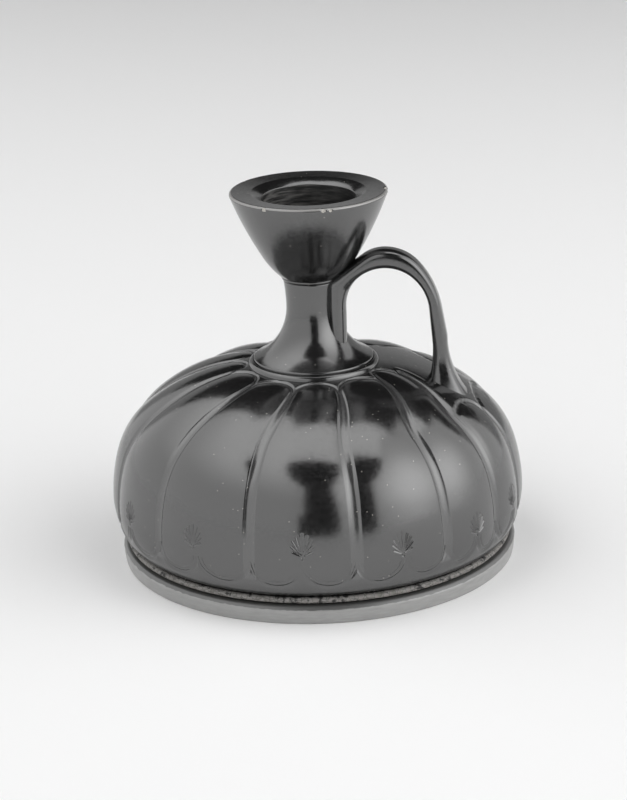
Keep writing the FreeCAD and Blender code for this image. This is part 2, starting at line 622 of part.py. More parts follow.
NODES = [foot, clay_bead, body, neck_ring, neck, mouth_ring, mouth, handle]
for thing in doc.Objects:
    if "Invalid" in thing.State or "Error" in thing.State:
        raise RuntimeError(thing.Name + " is not made")
for node in NODES:
    if node.Shape.isNull() or not node.Shape.isValid() or len(node.Shape.Solids) != 1:
        raise RuntimeError(node.Label + " is not one sound solid")

os.makedirs("parts", exist_ok=True)
for node in NODES:
    node.Shape.exportStep("parts/" + node.Label + ".step")
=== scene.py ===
import math

import bpy
import numpy as np
from mathutils import Matrix, Vector


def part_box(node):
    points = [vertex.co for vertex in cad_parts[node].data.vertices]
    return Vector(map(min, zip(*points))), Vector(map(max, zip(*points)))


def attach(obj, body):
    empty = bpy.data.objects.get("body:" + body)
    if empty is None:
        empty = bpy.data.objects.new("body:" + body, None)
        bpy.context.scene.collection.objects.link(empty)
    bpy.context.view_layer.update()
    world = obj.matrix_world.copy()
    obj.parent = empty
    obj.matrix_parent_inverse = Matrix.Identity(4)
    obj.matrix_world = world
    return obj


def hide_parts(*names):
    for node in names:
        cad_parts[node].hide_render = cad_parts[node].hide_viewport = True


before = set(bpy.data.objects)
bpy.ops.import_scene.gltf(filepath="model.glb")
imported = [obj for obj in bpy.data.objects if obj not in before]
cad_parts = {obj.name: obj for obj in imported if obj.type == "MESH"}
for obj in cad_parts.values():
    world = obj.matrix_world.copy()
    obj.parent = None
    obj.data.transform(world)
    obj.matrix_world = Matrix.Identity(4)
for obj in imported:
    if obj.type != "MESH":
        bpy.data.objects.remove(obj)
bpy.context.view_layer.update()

# Foot: a ring of fired clay that carries the jar. It is turned on the wheel from the same
# clay as the belly, dipped in the same slip and fired black, with a sloped band round its
# top and a hollow underneath.
MM = 0.001
LEFT, RIGHT = 1, -1


def meridian(corners, step):
    """Outline in millimetres through corners (reach, height), with a point at each step. A
    corner may add (radius, side), and the stretch that comes to it is then an arc with its
    centre on that side."""
    points = [np.array(corners[0], float)]
    for corner in corners[1:]:
        start = points[-1]
        end = np.array(corner[:2], float)
        chord = end - start
        length = np.hypot(*chord)
        if len(corner) == 4:
            radius, side = corner[2:]
            across = np.array([-chord[1], chord[0]]) / length * side
            centre = (start + end) / 2 + across * math.sqrt(radius ** 2 - length ** 2 / 4)
            first = math.atan2(start[1] - centre[1], start[0] - centre[0])
            last = math.atan2(end[1] - centre[1], end[0] - centre[0])
            turn = (last - first + math.pi) % (2 * math.pi) - math.pi
            count = max(int(abs(turn) * radius / step), 2)
            for angle in first + turn * np.arange(1, count + 1) / count:
                points.append(centre + radius * np.array([math.cos(angle), math.sin(angle)]))
        else:
            count = max(int(length / step), 1)
            points += [start + chord * k / count for k in range(1, count + 1)]
    return np.array(points)


def shell(name, reach, height, azimuth, closed=True, painted_sheen=None):
    """Mesh object from rows of points round the jar's axis. Reach and height hold a row for
    each point of the outline and a column for each azimuth. A closed outline joins its last
    row to its first, and a row on the axis becomes one point. Faces that start at a place in
    the painted-sheen mask take the second material."""
    rows, columns = reach.shape
    places = np.stack([reach * np.cos(azimuth), reach * np.sin(azimuth), height], axis=-1)
    numbers = np.arange(rows * columns).reshape(rows, columns)
    for row in range(rows):
        if not reach[row].any():
            numbers[row] = numbers[row, 0]
    lower = numbers if closed else numbers[:-1]
    upper = np.roll(numbers, -1, axis=0) if closed else numbers[1:]
    quads = np.stack([lower, np.roll(lower, -1, axis=1), np.roll(upper, -1, axis=1), upper],
                     axis=-1).reshape(-1, 4)
    faces = [list(dict.fromkeys(quad)) for quad in quads.tolist()]
    kept = [place for place, face in enumerate(faces) if len(face) > 2]
    faces = [faces[place] for place in kept]
    used = sorted({number for face in faces for number in face})
    order = {number: place for place, number in enumerate(used)}
    faces = [[order[number] for number in face] for face in faces]
    mesh = bpy.data.meshes.new(name)
    mesh.from_pydata((places.reshape(-1, 3)[used] * MM).tolist(), [], faces)
    if painted_sheen is not None:
        mesh.polygons.foreach_set("material_index", painted_sheen[:len(lower)].ravel()[kept].astype(int))
    mesh.shade_smooth()
    made = bpy.data.objects.new(name, mesh)
    bpy.context.collection.objects.link(made)
    return made


def turned(name, outline, columns):
    """Piece turned on the wheel: an outline swept round the jar's axis."""
    azimuth = np.linspace(0, 2 * math.pi, columns, endpoint=False)
    ones = np.ones(columns)
    return shell(name, outline[:, :1] * ones, outline[:, 1:] * ones, azimuth)


def linear(colour):
    """Linear RGBA of an sRGB hex colour."""
    parts = [int(colour[k:k + 2], 16) / 255 for k in (1, 3, 5)]
    return [c / 12.92 if c <= 0.04045 else ((c + 0.055) / 1.055) ** 2.4 for c in parts] + [1]


def add(tree, kind, settings=None, links=None):
    """Node with its settings. Links names its sockets: a socket of another node is joined
    to it, and anything else is set as its constant."""
    made = tree.nodes.new("ShaderNode" + kind)
    for name, value in (settings or {}).items():
        setattr(made, name, value)
    for socket, value in (links or {}).items():
        if isinstance(value, bpy.types.NodeSocket):
            tree.links.new(value, made.inputs[socket])
        else:
            made.inputs[socket].default_value = value
    return made


def new_material(name):
    """Empty material and its node tree."""
    material = bpy.data.materials.new(name)
    material.use_nodes = True
    material.node_tree.nodes.clear()
    return material, material.node_tree


# Black gloss: a fine iron-rich slip that sintered to a thin glass in the kiln. It gives the
# eye a near-black, mirror-like skin with a soft waviness from the wheel and fine pale pits.
gloss_black = linear("#151515")
pit_grey = linear("#a09c95")
gloss_index = 2.2
gloss_roughness = 0.17
glossier, duller = 0.03, 0.05
pit_spacing = 1.5 * MM
pit_size = 0.095
pit_share = 0.84
ripple_length, ripple_depth = 9 * MM, 0.05 * MM
grain_length, grain_depth = 1.1 * MM, 0.006 * MM
streak_length, streak_depth = 0.4 * MM, 0.004 * MM
streak_stretch = 0.12
black_gloss, tree = new_material("burnished black gloss slip on fired clay")
place = add(tree, "TexCoord").outputs["Object"]
cells = add(tree, "TexVoronoi", links={"Vector": place, "Scale": 1 / pit_spacing})
near_pit = add(tree, "Math", {"operation": "LESS_THAN"}, {0: cells.outputs["Distance"], 1: pit_size})
chosen = add(tree, "SeparateColor", links={"Color": cells.outputs["Color"]})
is_pit = add(tree, "Math", {"operation": "GREATER_THAN"}, {0: chosen.outputs[0], 1: pit_share})
pit = add(tree, "Math", {"operation": "MULTIPLY"}, {0: near_pit.outputs[0], 1: is_pit.outputs[0]})
tone = add(tree, "Mix", {"data_type": "RGBA"}, {0: pit.outputs[0], 6: gloss_black, 7: pit_grey})
ripple = add(tree, "TexNoise", links={"Vector": place, "Scale": 1 / ripple_length, "Detail": 1.0})
grain = add(tree, "TexNoise", links={"Vector": place, "Scale": 1 / grain_length, "Detail": 2.0})
rough = add(tree, "MapRange", links={
    "Value": grain.outputs["Fac"], "From Min": 0.3, "From Max": 0.7,
    "To Min": gloss_roughness - glossier, "To Max": gloss_roughness + duller})
waves = add(tree, "Bump", links={
    "Height": ripple.outputs["Fac"], "Strength": 1.0, "Distance": ripple_depth})
skin = add(tree, "Bump", links={
    "Height": grain.outputs["Fac"], "Strength": 1.0, "Distance": grain_depth,
    "Normal": waves.outputs["Normal"]})
drawn = add(tree, "VectorMath", {"operation": "MULTIPLY"}, {
    0: place, 1: (streak_stretch, streak_stretch, 1)})
streak = add(tree, "TexNoise", links={
    "Vector": drawn.outputs[0], "Scale": 1 / streak_length, "Detail": 2.0})
skin = add(tree, "Bump", links={
    "Height": streak.outputs["Fac"], "Strength": 1.0, "Distance": streak_depth,
    "Normal": skin.outputs["Normal"]})
gloss = add(tree, "BsdfPrincipled", links={
    "Base Color": tone.outputs[2], "Roughness": rough.outputs["Result"], "IOR": gloss_index,
    "Normal": skin.outputs["Normal"]})
add(tree, "OutputMaterial", links={"Surface": gloss.outputs[0]})


def chip_and_sheen_gloss(name, colour, roughness):
    """The same slip, greyer and duller, with the pits in it, for painted sheen, a painted highlight and
    bared clay.
    """
    material = black_gloss.copy()
    material.name = name
    nodes = material.node_tree.nodes
    nodes[tone.name].inputs[6].default_value = linear(colour)
    nodes[rough.name].inputs["To Min"].default_value = roughness - glossier
    nodes[rough.name].inputs["To Max"].default_value = roughness + duller
    return material


# Painted sheen: the furrows get a lighter grey that stands in for their reflections.
furrow_sheen_gloss = chip_and_sheen_gloss("gloss with painted sheen along the furrows", "#343434", 0.2)
# Painted highlight: a pale grey band round the lip stands in for the light it reflects.
lip_highlight_gloss = chip_and_sheen_gloss("gloss with a painted highlight along the lip", "#7f7e7c", 0.3)
chipped_clay = chip_and_sheen_gloss("clay bared by a chip", "#aaa69f", 0.6)

foot_reach = 61.5
foot_tread = 61.0
foot_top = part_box("foot")[1].z / MM
foot_face_top = 4.3
foot_bevel_reach = 60.5
foot_bulge = 24
foot_hollow = 50
foot_hollow_top = 48
tread_round = 0.5

# Foot slip: the foot's face is a light grey satin, painted reflection of the bright floor,
# under a darker sloped band whose border is ragged where flakes came away.
# Painted reflection: the face's light grey stands in for the bright floor it mirrors.
floor_reflection_grey = linear("#9c9c9b")
band_grey = linear("#545453")
border_height = 4.5 * MM
ragged_length = 2.2 * MM
ragged_reach = 0.6 * MM
half_border = 0.05 * MM
scuff_length, scuff_depth = 0.7 * MM, 0.006 * MM
scuff_stretch = 0.15
foot_wear_and_reflection, tree = new_material("worn satin slip on the foot")
place = add(tree, "TexCoord").outputs["Object"]
xyz = add(tree, "SeparateXYZ", links={0: place})
ragged = add(tree, "TexNoise", links={"Vector": place, "Scale": 1 / ragged_length, "Detail": 3.0})
shifted = add(tree, "Math", {"operation": "MULTIPLY_ADD"}, {
    0: ragged.outputs["Fac"], 1: ragged_reach, 2: xyz.outputs[2]})
over = add(tree, "MapRange", links={
    "Value": shifted.outputs[0], "From Min": border_height + ragged_reach / 2 - half_border,
    "From Max": border_height + ragged_reach / 2 + half_border})
drawn = add(tree, "VectorMath", {"operation": "MULTIPLY"}, {
    0: place, 1: (scuff_stretch, scuff_stretch, 1)})
scuffs = add(tree, "TexNoise", links={
    "Vector": drawn.outputs[0], "Scale": 1 / scuff_length, "Detail": 4.0, "Roughness": 0.6})
scuff = add(tree, "MapRange", links={
    "Value": scuffs.outputs["Fac"], "From Min": 0.3, "From Max": 0.7, "To Min": 0.0, "To Max": 0.3})
tone = add(tree, "Mix", {"data_type": "RGBA"}, {
    0: scuff.outputs["Result"], 6: floor_reflection_grey, 7: band_grey})
# Above the ragged border the darker band grey replaces the painted reflection.
tone = add(tree, "Mix", {"data_type": "RGBA"}, {
    0: over.outputs["Result"], 6: tone.outputs[2], 7: band_grey})
dents = add(tree, "Bump", links={
    "Height": scuffs.outputs["Fac"], "Strength": 1.0, "Distance": scuff_depth})
satin = add(tree, "BsdfPrincipled", links={
    "Base Color": tone.outputs[2], "Roughness": 0.36, "IOR": 1.9, "Normal": dents.outputs["Normal"]})
add(tree, "OutputMaterial", links={"Surface": satin.outputs[0]})
foot = turned("foot_ring", meridian([
    (foot_hollow, 0),
    (foot_tread - 0.4, 0),
    (foot_tread, 0.3, tread_round, LEFT),
    (foot_reach, foot_face_top, foot_bulge, LEFT),
    (foot_bevel_reach, foot_top),
    (foot_hollow_top, foot_top),
    (foot_hollow, 0),
], 0.4)[:-1], 360)
foot.data.materials.append(foot_wear_and_reflection)
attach(foot, "root")
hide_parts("foot")

# Clay bead: a pale ring in the groove between foot and belly, where the slip was scraped
# off and the bare clay shows. It is rounded, crazed and blotched with rests of black.
bead_pale = linear("#989693")
bead_dull = linear("#6f6c68")
bead_dark = linear("#262423")
crack_spacing, crack_depth = 1.6 * MM, 0.08 * MM
blotch_length = 2.6 * MM
bare_clay, tree = new_material("bare crazed fired clay")
place = add(tree, "TexCoord").outputs["Object"]
cracks = add(tree, "TexVoronoi", {"feature": "DISTANCE_TO_EDGE"}, {
    "Vector": place, "Scale": 1 / crack_spacing})
crack = add(tree, "MapRange", links={
    "Value": cracks.outputs["Distance"], "From Min": 0.01, "From Max": 0.07,
    "To Min": 0.7, "To Max": 0.0})
blotch = add(tree, "TexNoise", links={
    "Vector": place, "Scale": 1 / blotch_length, "Detail": 4.0, "Roughness": 0.65})
shade = add(tree, "MapRange", links={
    "Value": blotch.outputs["Fac"], "From Min": 0.35, "From Max": 0.6})
clay = add(tree, "Mix", {"data_type": "RGBA"}, {
    0: shade.outputs["Result"], 6: bead_dull, 7: bead_pale})
rest = add(tree, "MapRange", links={
    "Value": blotch.outputs["Fac"], "From Min": 0.53, "From Max": 0.6})
marks = add(tree, "Math", {"operation": "MAXIMUM"}, {
    0: crack.outputs["Result"], 1: rest.outputs["Result"]})
clay = add(tree, "Mix", {"data_type": "RGBA"}, {0: marks.outputs[0], 6: clay.outputs[2], 7: bead_dark})
sunk = add(tree, "Bump", links={
    "Height": crack.outputs["Result"], "Strength": 1.0, "Distance": -crack_depth})
dull = add(tree, "BsdfPrincipled", links={
    "Base Color": clay.outputs[2], "Roughness": 0.62, "IOR": 1.5,
    "Normal": sunk.outputs["Normal"]})
add(tree, "OutputMaterial", links={"Surface": dull.outputs[0]})

groove_reach = 58.6
bead_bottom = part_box("clay_bead")[0].z / MM
bead_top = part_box("clay_bead")[1].z / MM
bead_face = 60.0
bead_round = 1.0
bead = turned("clay_bead_ring", meridian([
    (groove_reach, bead_bottom),
    (bead_face - 0.7, bead_bottom),
    (bead_face, bead_bottom + 0.5, 0.8, LEFT),
    (bead_face, bead_top - 0.5, bead_round, LEFT),
    (bead_face - 0.9, bead_top, 1.1, LEFT),
    (groove_reach, bead_top),
    (groove_reach, bead_bottom),
], 0.15)[:-1], 720)
bead.data.materials.append(bare_clay)
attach(bead, "root")
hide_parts("clay_bead")

# Belly: the thrown body of the jar. Its wall was pressed into fourteen upright lobes while
# the clay was soft, the furrows between them were cut, and each lobe got a stamped palmette
# between two scored garland arcs before the black slip went on.
belly_reach = 64.0
belly_height = 19.4
side_reach, side_height, side_radius = 61.89, 34.46, 53.6
turn_reach, turn_height, turn_radius = 52.88, 48.19, 28.1
crown_radius = 57.5
crown_centre = (16.08, 4.02)
base_reach = 60.8
base_height = 9.4
lower_radius = 19
undercut_reach = 59.0
undercut_top = 8.9
seat_reach = 20.1
seat_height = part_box("body")[1].z / MM
bore_reach = 4.6
inner_wall = 4.1
floor_height = 9.4
crown_top = crown_centre[1] + math.sqrt(crown_radius ** 2 - (seat_reach - crown_centre[0]) ** 2)
envelope = meridian([
    (base_reach, base_height),
    (belly_reach, belly_height, lower_radius, LEFT),
    (side_reach, side_height, side_radius, LEFT),
    (turn_reach, turn_height, turn_radius, LEFT),
    (seat_reach, crown_top, crown_radius, LEFT),
], 0.05)

# Middles of the furrows round the belly, in degrees from the handle. The seven in view are
# uneven, as the lobes were pressed by hand. The eight lobes behind them are evenly spaced.
lobe_count = 14
seen_furrows = [-163.2, -135.7, -105.5, -76.4, -49.5, -28.2, -8.7]
hidden_lobes = lobe_count - len(seen_furrows) + 1
hidden_step = (360 + seen_furrows[0] - seen_furrows[-1]) / hidden_lobes
furrows = np.radians(seen_furrows + [
    seen_furrows[-1] + hidden_step * k for k in range(1, hidden_lobes)])
furrows = np.append(furrows, furrows[0] + 2 * math.pi)


def spaced(stops, steps):
    """Positions from the first stop to the last, with a step of its own between each two
    stops."""
    run = [np.linspace(start, end, max(round((end - start) / step), 1), endpoint=False)
           for start, end, step in zip(stops, stops[1:], steps)]
    return np.concatenate(run + [stops[-1:]])


# The mesh is finer along the furrows, the garlands, the palmettes and the arches.
furrow_zone = 2.7
palmette_zone = 5.2
furrow_step, plain_step, palmette_step = 0.22, 0.5, 0.18
azimuth = []
for first, last in zip(furrows, furrows[1:]):
    width = (last - first) * belly_reach
    across = spaced(
        [0, furrow_zone, width / 2 - palmette_zone, width / 2 + palmette_zone,
         width - furrow_zone, width],
        [furrow_step, plain_step, palmette_step, plain_step, furrow_step])
    azimuth.append(first + across[:-1] / belly_reach)
azimuth = np.concatenate(azimuth)

run = np.append(0, np.cumsum(np.hypot(*np.diff(envelope, axis=0).T)))
zone_heights = [10.0, 19.0, 30.0]
arch_reach = 21.7
arch_top = run[-1] - np.interp(arch_reach, envelope[::-1, 0], run[-1] - run[::-1])
arch_zone = 10.0
level_steps = [0.4, 0.25, 0.18, 0.8, 0.2]
levels = spaced(
    [0, *np.interp(zone_heights, envelope[:, 1], run), arch_top - arch_zone, run[-1]], level_steps)
reach = np.interp(levels, run, envelope[:, 0])
height = np.interp(levels, run, envelope[:, 1])
slope = np.gradient(envelope, axis=0)
slope /= np.hypot(*slope.T)[:, None]
outward_reach = np.interp(levels, run, slope[:, 1])
outward_height = np.interp(levels, run, -slope[:, 0])


def ease(value, start, end):
    """Smooth rise from 0 at start to 1 at end."""
    part = np.clip((value - start) / (end - start), 0, 1)
    return part * part * (3 - 2 * part)


groove_squareness = 2.4


def hollow(offset, half_width):
    """Cross-section of a rounded groove: 1 in its middle, 0 at its edges."""
    return np.clip(1 - np.abs(offset / half_width) ** groove_squareness, 0, 1)


hair = 1e-9
lobe_number = np.clip(np.searchsorted(furrows, azimuth + hair) - 1, 0, lobe_count - 1)
middle = (furrows[lobe_number] + furrows[lobe_number + 1]) / 2
half_turn = (furrows[lobe_number + 1] - furrows[lobe_number]) / 2

# The furrows bend to the right on their way up to the neck, most of all beside the handle.
# The bends are in degrees, and the bent stretch is in millimetres along the outline.
furrow_bends = np.radians([0, 4, 5.5, 6.5, 13, 12, 3] + [0] * hidden_lobes)
bend_length = 31.0
bent = ease(levels, arch_top - bend_length, arch_top)[:, None]
bent_azimuth = azimuth + bent * np.interp(azimuth, furrows, furrow_bends)
stretch = 1 + bent * (furrow_bends[lobe_number + 1] - furrow_bends[lobe_number]) / (2 * half_turn)
side = reach[:, None] * (azimuth - middle) * stretch
half_lobe = reach[:, None] * half_turn * stretch

# Each lobe is a cushion that sinks to its edge, and its upper end is a round arch. Outside
# the edge lies the furrow, which forks round the arches into narrow grooves.
furrow_width = 3.7
furrow_top_width = 2.5
furrow_depth = 0.55
groove_width = 1.6
groove_depth = 0.45
lobe_swell, arch_swell = 0.85, 0.5
widening, swelling = 20, 28
arch_rise = 4.8
fork_start, fork_end = arch_rise - 1.2, arch_rise + 1.6
plain_drop = 0.3
plain_start = 0.2
speck = 1e-6


def relief(arch_tops):
    """Depth of the lobes, furrows and arches for one arch top per lobe, the distances inside
    and outside each lobe's edge, where the furrows fork, and the furrows' width."""
    from_arch = arch_tops[lobe_number] - levels[:, None]
    furrow = furrow_top_width + (furrow_width - furrow_top_width) * ease(from_arch, arch_rise, widening)
    lobe_edge = half_lobe - furrow / 2
    u = np.abs(side) / lobe_edge
    v = np.clip((arch_rise - from_arch) / arch_rise, 0, None)
    oval = np.hypot(u, v) + speck
    inside = (1 - oval) * oval / (np.hypot(u / lobe_edge, v / arch_rise) + speck)
    inside = np.where(from_arch >= arch_rise, lobe_edge - np.abs(side), inside)
    swell = arch_swell + (lobe_swell - arch_swell) * ease(from_arch, arch_rise, swelling)
    forked = 1 - ease(from_arch, fork_start, fork_end)
    outside = np.clip(-inside, 0, None)
    cushion = swell * np.clip(1 - inside / lobe_edge, 0, 1) ** 2
    trough = furrow_depth * hollow(outside - furrow / 2, furrow / 2) * (1 - forked)
    trough = trough + groove_depth * hollow(outside - groove_width / 2, groove_width / 2) * forked
    shoulder = swell + (plain_drop - swell) * ease(outside, plain_start, groove_width) * forked
    depth = np.where(inside > 0, cushion, shoulder + trough)
    return np.stack([depth, inside, outside, forked]), furrow


def level_at(place):
    """Distance along the belly's outline to that reach on its shoulder."""
    shoulder = envelope[:, 1] >= belly_height
    return np.interp(-place, -envelope[shoulder, 0], run[shoulder])


# The shoulder stays plain round the handle's foot: the arches of the three lobes under it
# lie lower, and only the outer edges of these lobes run on up to the neck.
low_arches = {5: 48.0, 6: 50.0, 7: 37.0}
edge_blend = 2.5
relief_start, relief_full = 11.5, 18.0
far_off = 99
arch_tops = np.full(lobe_count, arch_top)
low_tops = arch_tops.copy()
for number, place in low_arches.items():
    low_tops[number] = level_at(place)
usual, furrow = relief(arch_tops)
low, _ = relief(low_tops)
first_edge = np.where(lobe_number == min(low_arches), half_lobe + side, far_off)
last_edge = np.where(lobe_number == max(low_arches), half_lobe - side, far_off)
from_edge = np.minimum(first_edge, last_edge)
lowered = np.isin(lobe_number, list(low_arches)) * np.maximum(
    usual[3], ease(from_edge, furrow / 2, furrow / 2 + edge_blend))
depth = usual[0] + (low[0] - usual[0]) * lowered
depth_fade = ease(height, relief_start, relief_full)[:, None]
depth = depth * depth_fade
inside, outside, forked = np.where(lowered > 0.5, low[1:], usual[1:])
# Painted sheen mask: faces in the furrows and the arch grooves take the lighter furrow material.
painted_sheen = (inside <= 0) & ((outside < groove_width) | (forked < 0.5)) & (depth_fade > 0.3)

# Garlands: two arcs hang side by side under each palmette, from furrow to furrow, each of
# them a fine scored line over a broader one.
garland_top = 19.5
garland_drop = 7.2
line_shrink, line_width, line_depth = 1.5, 0.28, 0.26
band_shrink, band_width, band_depth = 0, 0.55, 0.36
half_arc = half_lobe / 2
for shrink, mark_width, mark_depth in (
        (line_shrink, line_width, line_depth), (band_shrink, band_width, band_depth)):
    q = (np.abs(side) - half_arc) / (half_arc - shrink)
    drop = (garland_top - height[:, None]) / (garland_drop - shrink)
    ring = np.hypot(q, np.clip(drop, 0, None))
    miss = (ring - 1) * (half_arc + garland_drop) / 2
    depth = depth + np.where(drop > 0, mark_depth * np.exp(-(miss / mark_width) ** 2), 0)

# Palmette: a fan of sunken petals over a small heart, stamped into the wet clay. Each one
# was set by hand, a little beside the middle of its lobe and higher or lower. A petal has
# its lean in degrees, and its length and half its width in millimetres.
petal_base = 21.0
petals = [(0, 7.0, 0.42), (14, 6.5, 0.38), (28, 5.8, 0.38), (43, 4.8, 0.36), (62, 3.4, 0.34)]
petal_start = 0.7
petal_root = 0.35
petal_depth = 0.3
petal_rim = (1.15, 0.55)
heart_length, heart_width = 0.9, 0.45
heart_rim = (1.2, 0.6)
stamp_shifts = {1: (-1.7, 1.1), 2: (0.2, 1.6), 3: (-1.0, -0.3), 4: (0.2, -1.3)}
across_shift = np.array([stamp_shifts.get(number, (0, 0))[0] for number in range(lobe_count)])
up_shift = np.array([stamp_shifts.get(number, (0, 0))[1] for number in range(lobe_count)])
beside = side - across_shift[lobe_number]
up = height[:, None] - petal_base - up_shift[lobe_number]
stamp = np.zeros_like(depth)
for lean, length, petal_width in petals:
    for hand in {1, -1} if lean else {1}:
        angle = math.radians(lean) * hand
        along = beside * math.sin(angle) + up * math.cos(angle)
        off = beside * math.cos(angle) - up * math.sin(angle)
        part = np.clip((along - petal_start) / (length - petal_start), 0, 1)
        half_petal = petal_width * (petal_root + (1 - petal_root) * part)
        end = np.clip(along - length + petal_width, 0, None) + np.clip(petal_start - along, 0, None)
        miss = np.hypot(off, end) / half_petal
        stamp = np.maximum(stamp, petal_depth * ease(miss, *petal_rim))
heart = np.hypot(beside / heart_width, up / heart_length)
stamp = np.maximum(stamp, petal_depth * ease(heart, *heart_rim))
depth = depth + stamp

outer_reach = reach[:, None] - depth * outward_reach[:, None]
outer_height = height[:, None] - depth * outward_height[:, None]

# The outline goes on below the lobes to the foot, and from the neck's seat down through the
# hollow inside, a wall's thickness within the outside.
plain_outline_step = 2.0
corner_reach, corner_round = 53.3, 12
flat = np.ones(azimuth.size)
below = meridian([
    (0, foot_top),
    (groove_reach, foot_top),
    (groove_reach, bead_top),
    (undercut_reach, bead_top),
    (undercut_reach, undercut_top),
    (base_reach - 0.35, undercut_top + 0.05),
], plain_outline_step)
within = meridian([
    (seat_reach, seat_height),
    (bore_reach, seat_height),
    (bore_reach, seat_height - inner_wall),
    (turn_reach - inner_wall * 0.64, turn_height - inner_wall * 0.77, crown_radius - inner_wall, RIGHT),
    (side_reach - inner_wall * 0.96, side_height - inner_wall * 0.28, turn_radius - inner_wall, RIGHT),
    (belly_reach - inner_wall, belly_height, side_radius - inner_wall, RIGHT),
    (corner_reach, floor_height, corner_round, RIGHT),
    (0, floor_height),
], plain_outline_step)
belly = shell(
    "belly_with_lobes",
    np.vstack([below[:, :1] * flat, outer_reach, within[:, :1] * flat]),
    np.vstack([below[:, 1:] * flat, outer_height, within[:, 1:] * flat]),
    np.vstack([azimuth + 0 * below[:, :1], bent_azimuth, azimuth + 0 * within[:, :1]]),
    closed=False,
    painted_sheen=np.vstack([below[:, :1] * flat < 0, painted_sheen, within[:, :1] * flat < 0]))
belly.data.materials.append(black_gloss)
belly.data.materials.append(furrow_sheen_gloss)
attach(belly, "root")
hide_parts("body")

# Neck ring: a rounded moulding round the foot of the neck, turned while the neck was set on.
neck_base_reach = 18.4
ring_reach = 20.1
ring_top = 62.7
neck_ring = turned("neck_moulding", meridian([
    (neck_base_reach, seat_height),
    (ring_reach - 0.2, seat_height),
    (ring_reach, seat_height + 0.9, 1.1, LEFT),
    (neck_base_reach + 0.4, ring_top, 1.6, LEFT),
    (neck_base_reach, ring_top - 0.2),
    (neck_base_reach, seat_height),
], 0.12)[:-1], 360)
neck_ring.data.materials.append(black_gloss)
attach(neck_ring, "root")
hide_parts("neck_ring")

# Neck: thrown apart from the belly and set on it with slip. It flares out to the shoulder
# and opens a little towards the mouth.
neck_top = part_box("neck")[1].z / MM
neck_edge = 63.3
waist_reach, waist_height = 7.85, 79.5
neck_top_reach = 8.5
flare_radius = 17.7
throat_radius = 55
neck = turned("neck_tube", meridian([
    (bore_reach, seat_height),
    (neck_base_reach, seat_height),
    (neck_base_reach, neck_edge),
    (waist_reach, waist_height, flare_radius, RIGHT),
    (neck_top_reach, neck_top, throat_radius, RIGHT),
    (bore_reach, neck_top),
    (bore_reach, seat_height),
], 0.3)[:-1], 360)
neck.data.materials.append(black_gloss)
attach(neck, "root")
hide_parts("neck")

# Mouth ring: the low ridge that was left where the mouth was luted to the neck.
mouth_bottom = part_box("mouth")[0].z / MM
mouth_base_reach = 9.0
mouth_ring = turned("mouth_ridge", meridian([
    (bore_reach, neck_top),
    (neck_top_reach - 0.3, neck_top),
    (mouth_base_reach, mouth_bottom, 0.9, LEFT),
    (bore_reach, mouth_bottom),
    (bore_reach, neck_top),
], 0.12)[:-1], 360)
mouth_ring.data.materials.append(black_gloss)
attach(mouth_ring, "root")
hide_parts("mouth_ring")

# Mouth: a deep thrown cup with a broad, slightly dished top face round its hole. The slip
# was brushed on inside, with painted light on the left of the hole and painted shade on its
# right, and a painted highlight runs along the lip, where small chips came away.
# The pale grey shows both the brush streaks and painted light on the left of the hole.
streak_and_lit_grey = linear("#737270")
black_slip_inside = linear("#151515")
brush_length, brush_depth = 0.55 * MM, 0.05 * MM
brush_stretch = 0.1
# Painted light and shade: the streaks show fully at the left of the hole and fade to the right.
lit_side_x, shaded_side_x = -14 * MM, 12 * MM
brushed_slip_and_light, tree = new_material("slip brushed thinly inside the mouth")
place = add(tree, "TexCoord").outputs["Object"]
drawn = add(tree, "VectorMath", {"operation": "MULTIPLY"}, {
    0: place, 1: (brush_stretch, brush_stretch, 1)})
strokes = add(tree, "TexNoise", links={
    "Vector": drawn.outputs[0], "Scale": 1 / brush_length, "Detail": 3.0, "Roughness": 0.6})
streaks_and_light = add(tree, "MapRange", links={
    "Value": strokes.outputs["Fac"], "From Min": 0.42, "From Max": 0.68})
xyz = add(tree, "SeparateXYZ", links={0: place})
# Painted light falling off from the left of the hole to its right.
left_light_share = add(tree, "MapRange", links={
    "Value": xyz.outputs[0], "From Min": lit_side_x, "From Max": shaded_side_x,
    "To Min": 1.0, "To Max": 0.15})
streaks_and_light = add(tree, "Math", {"operation": "MULTIPLY"}, {0: streaks_and_light.outputs[0], 1: left_light_share.outputs[0]})
tone = add(tree, "Mix", {"data_type": "RGBA"}, {0: streaks_and_light.outputs[0], 6: black_slip_inside, 7: streak_and_lit_grey})
ridges = add(tree, "Bump", links={
    "Height": strokes.outputs["Fac"], "Strength": 1.0, "Distance": brush_depth})
brushed = add(tree, "BsdfPrincipled", links={
    "Base Color": tone.outputs[2], "Roughness": 0.4, "IOR": 1.7, "Normal": ridges.outputs["Normal"]})
add(tree, "OutputMaterial", links={"Surface": brushed.outputs[0]})

lip_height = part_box("mouth")[1].z / MM
rim_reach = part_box("mouth")[1].x / MM
lip_round = 0.8
# Width of the painted highlight band round the lip's outer edge.
lip_highlight_width = 0.5
bowl_reach, bowl_height = 14.5, 95.3
slope_reach, slope_height = 17.5, lip_height - 0.4
hole_reach, hole_height, hole_bottom = 14.2, lip_height - 2.1, 104.0
crown_round = 10.0
cup_floor = 92.0
mouth = turned("mouth_cup", meridian([
    (bore_reach, mouth_bottom),
    (mouth_base_reach, mouth_bottom),
    (bowl_reach, bowl_height, 25, LEFT),
    (rim_reach, lip_height - lip_round, 120, LEFT),
    (rim_reach - lip_round, lip_height, lip_round, LEFT),
    (slope_reach, slope_height),
    (hole_reach, hole_height, crown_round, LEFT),
    (hole_reach - 0.3, hole_bottom),
    (bore_reach, cup_floor, 14, RIGHT),
    (bore_reach, mouth_bottom),
], 0.2)[:-1], 480)
mouth_materials = [black_gloss, brushed_slip_and_light, lip_highlight_gloss, chipped_clay]
for material in mouth_materials:
    mouth.data.materials.append(material)

